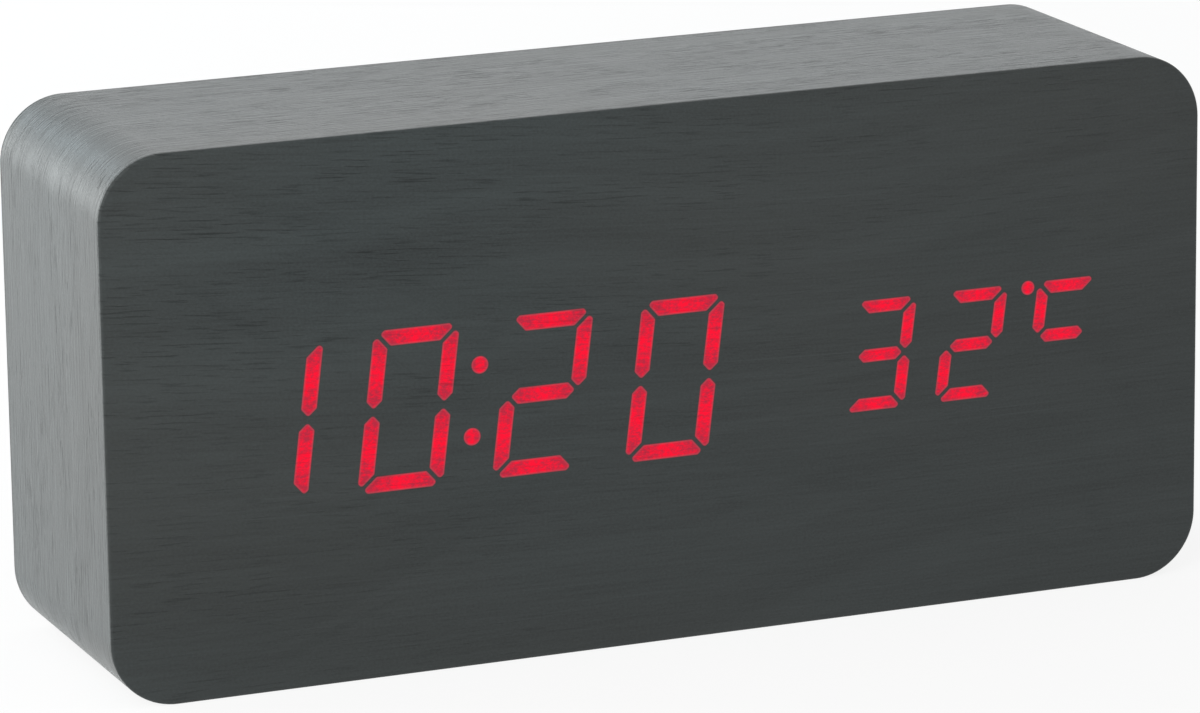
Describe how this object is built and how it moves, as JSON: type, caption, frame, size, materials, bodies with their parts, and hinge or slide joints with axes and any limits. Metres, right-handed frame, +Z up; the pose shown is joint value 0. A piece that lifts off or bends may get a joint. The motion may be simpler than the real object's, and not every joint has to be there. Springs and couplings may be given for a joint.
{
  "type": "digital table clock",
  "caption": "Veneered block table clock with red segment figures shining through its front, push buttons, a battery door and a power socket at the back.",
  "frame": {"origin": "on the table, under the middle of the block", "axes": "+X to the right as seen from the front, along the block's length; +Y from the front to the back; +Z up"},
  "size_m": [0.15, 0.04, 0.07],
  "materials": {
    "veneer": "satin",
    "board": "matte",
    "cover_plastic": "matte",
    "tray_plastic": "matte",
    "button_plastic": "satin",
    "mask_plastic": "matte",
    "lit_guide": "satin",
    "circuit_board": "satin",
    "black_component": "matte",
    "connector_plastic": "matte",
    "ribbon_sheath": "matte",
    "red_wire_sheath": "matte",
    "black_wire_sheath": "matte",
    "bright_metal": "satin",
    "black_screw": "satin",
    "cell_wrap": "satin"
  },
  "bodies": {
    "clock_body": {"case_core": "board", "case_wrap": "veneer", "front_veneer": "veneer", "rear_rim_veneer": "veneer", "segment_mask": "mask_plastic", "light_hours_tens": "lit_guide", "light_hours_units": "lit_guide", "light_minutes_tens": "lit_guide", "light_minutes_units": "lit_guide", "light_degrees_tens": "lit_guide", "light_degrees_units": "lit_guide", "light_celsius": "lit_guide", "light_colon": "lit_guide", "display_board": "circuit_board", "display_screw_1": "bright_metal", "display_screw_2": "bright_metal", "display_screw_3": "bright_metal", "display_screw_4": "bright_metal", "battery_tray": "tray_plastic", "battery_cell_1": "cell_wrap", "battery_cell_2": "cell_wrap", "battery_cell_3": "cell_wrap", "battery_cell_4": "cell_wrap", "contact_negative": "bright_metal", "contact_positive": "bright_metal", "contact_link_1": "bright_metal", "contact_link_2": "bright_metal", "contact_link_3": "bright_metal", "rear_cover": "cover_plastic", "rear_screw_1": "black_screw", "rear_screw_2": "black_screw", "rear_screw_3": "black_screw", "rear_screw_4": "black_screw", "main_board": "circuit_board", "board_screw_1": "bright_metal", "board_screw_2": "bright_metal", "board_screw_3": "bright_metal", "down_switch": "black_component", "up_switch": "black_component", "set_switch": "black_component", "dc_jack": "tray_plastic", "buzzer": "black_component", "microphone": "bright_metal", "thermistor": "black_component", "clock_chip": "black_component", "crystal": "bright_metal", "capacitor": "bright_metal", "board_connector": "connector_plastic", "display_connector": "connector_plastic", "ribbon_cable": "ribbon_sheath", "battery_wire_negative": "black_wire_sheath", "battery_wire_positive": "red_wire_sheath"},
    "door": {"battery_door": "cover_plastic"},
    "button_down": {"down_button": "button_plastic", "down_plunger": "tray_plastic"},
    "button_up": {"up_button": "button_plastic", "up_plunger": "tray_plastic"},
    "button_set": {"set_button": "button_plastic", "set_plunger": "tray_plastic"}
  },
  "joints": [
    {"name": "battery_door_swing", "type": "hinge", "parent": "clock_body", "child": "door", "pos_m": [-0.0301, 0.02, 0.012], "axis": [-1, 0, 0], "range_deg": [0, 85]},
    {"name": "down_button_press", "type": "slide", "parent": "clock_body", "child": "button_down", "axis": [0, -1, 0], "range_m": [0, 0.0006], "stiffness_N_per_m": 400, "springref_m": -0.001},
    {"name": "up_button_press", "type": "slide", "parent": "clock_body", "child": "button_up", "axis": [0, -1, 0], "range_m": [0, 0.0006], "stiffness_N_per_m": 400, "springref_m": -0.001},
    {"name": "set_button_press", "type": "slide", "parent": "clock_body", "child": "button_set", "axis": [0, -1, 0], "range_m": [0, 0.0006], "stiffness_N_per_m": 400, "springref_m": -0.001}
  ]
}
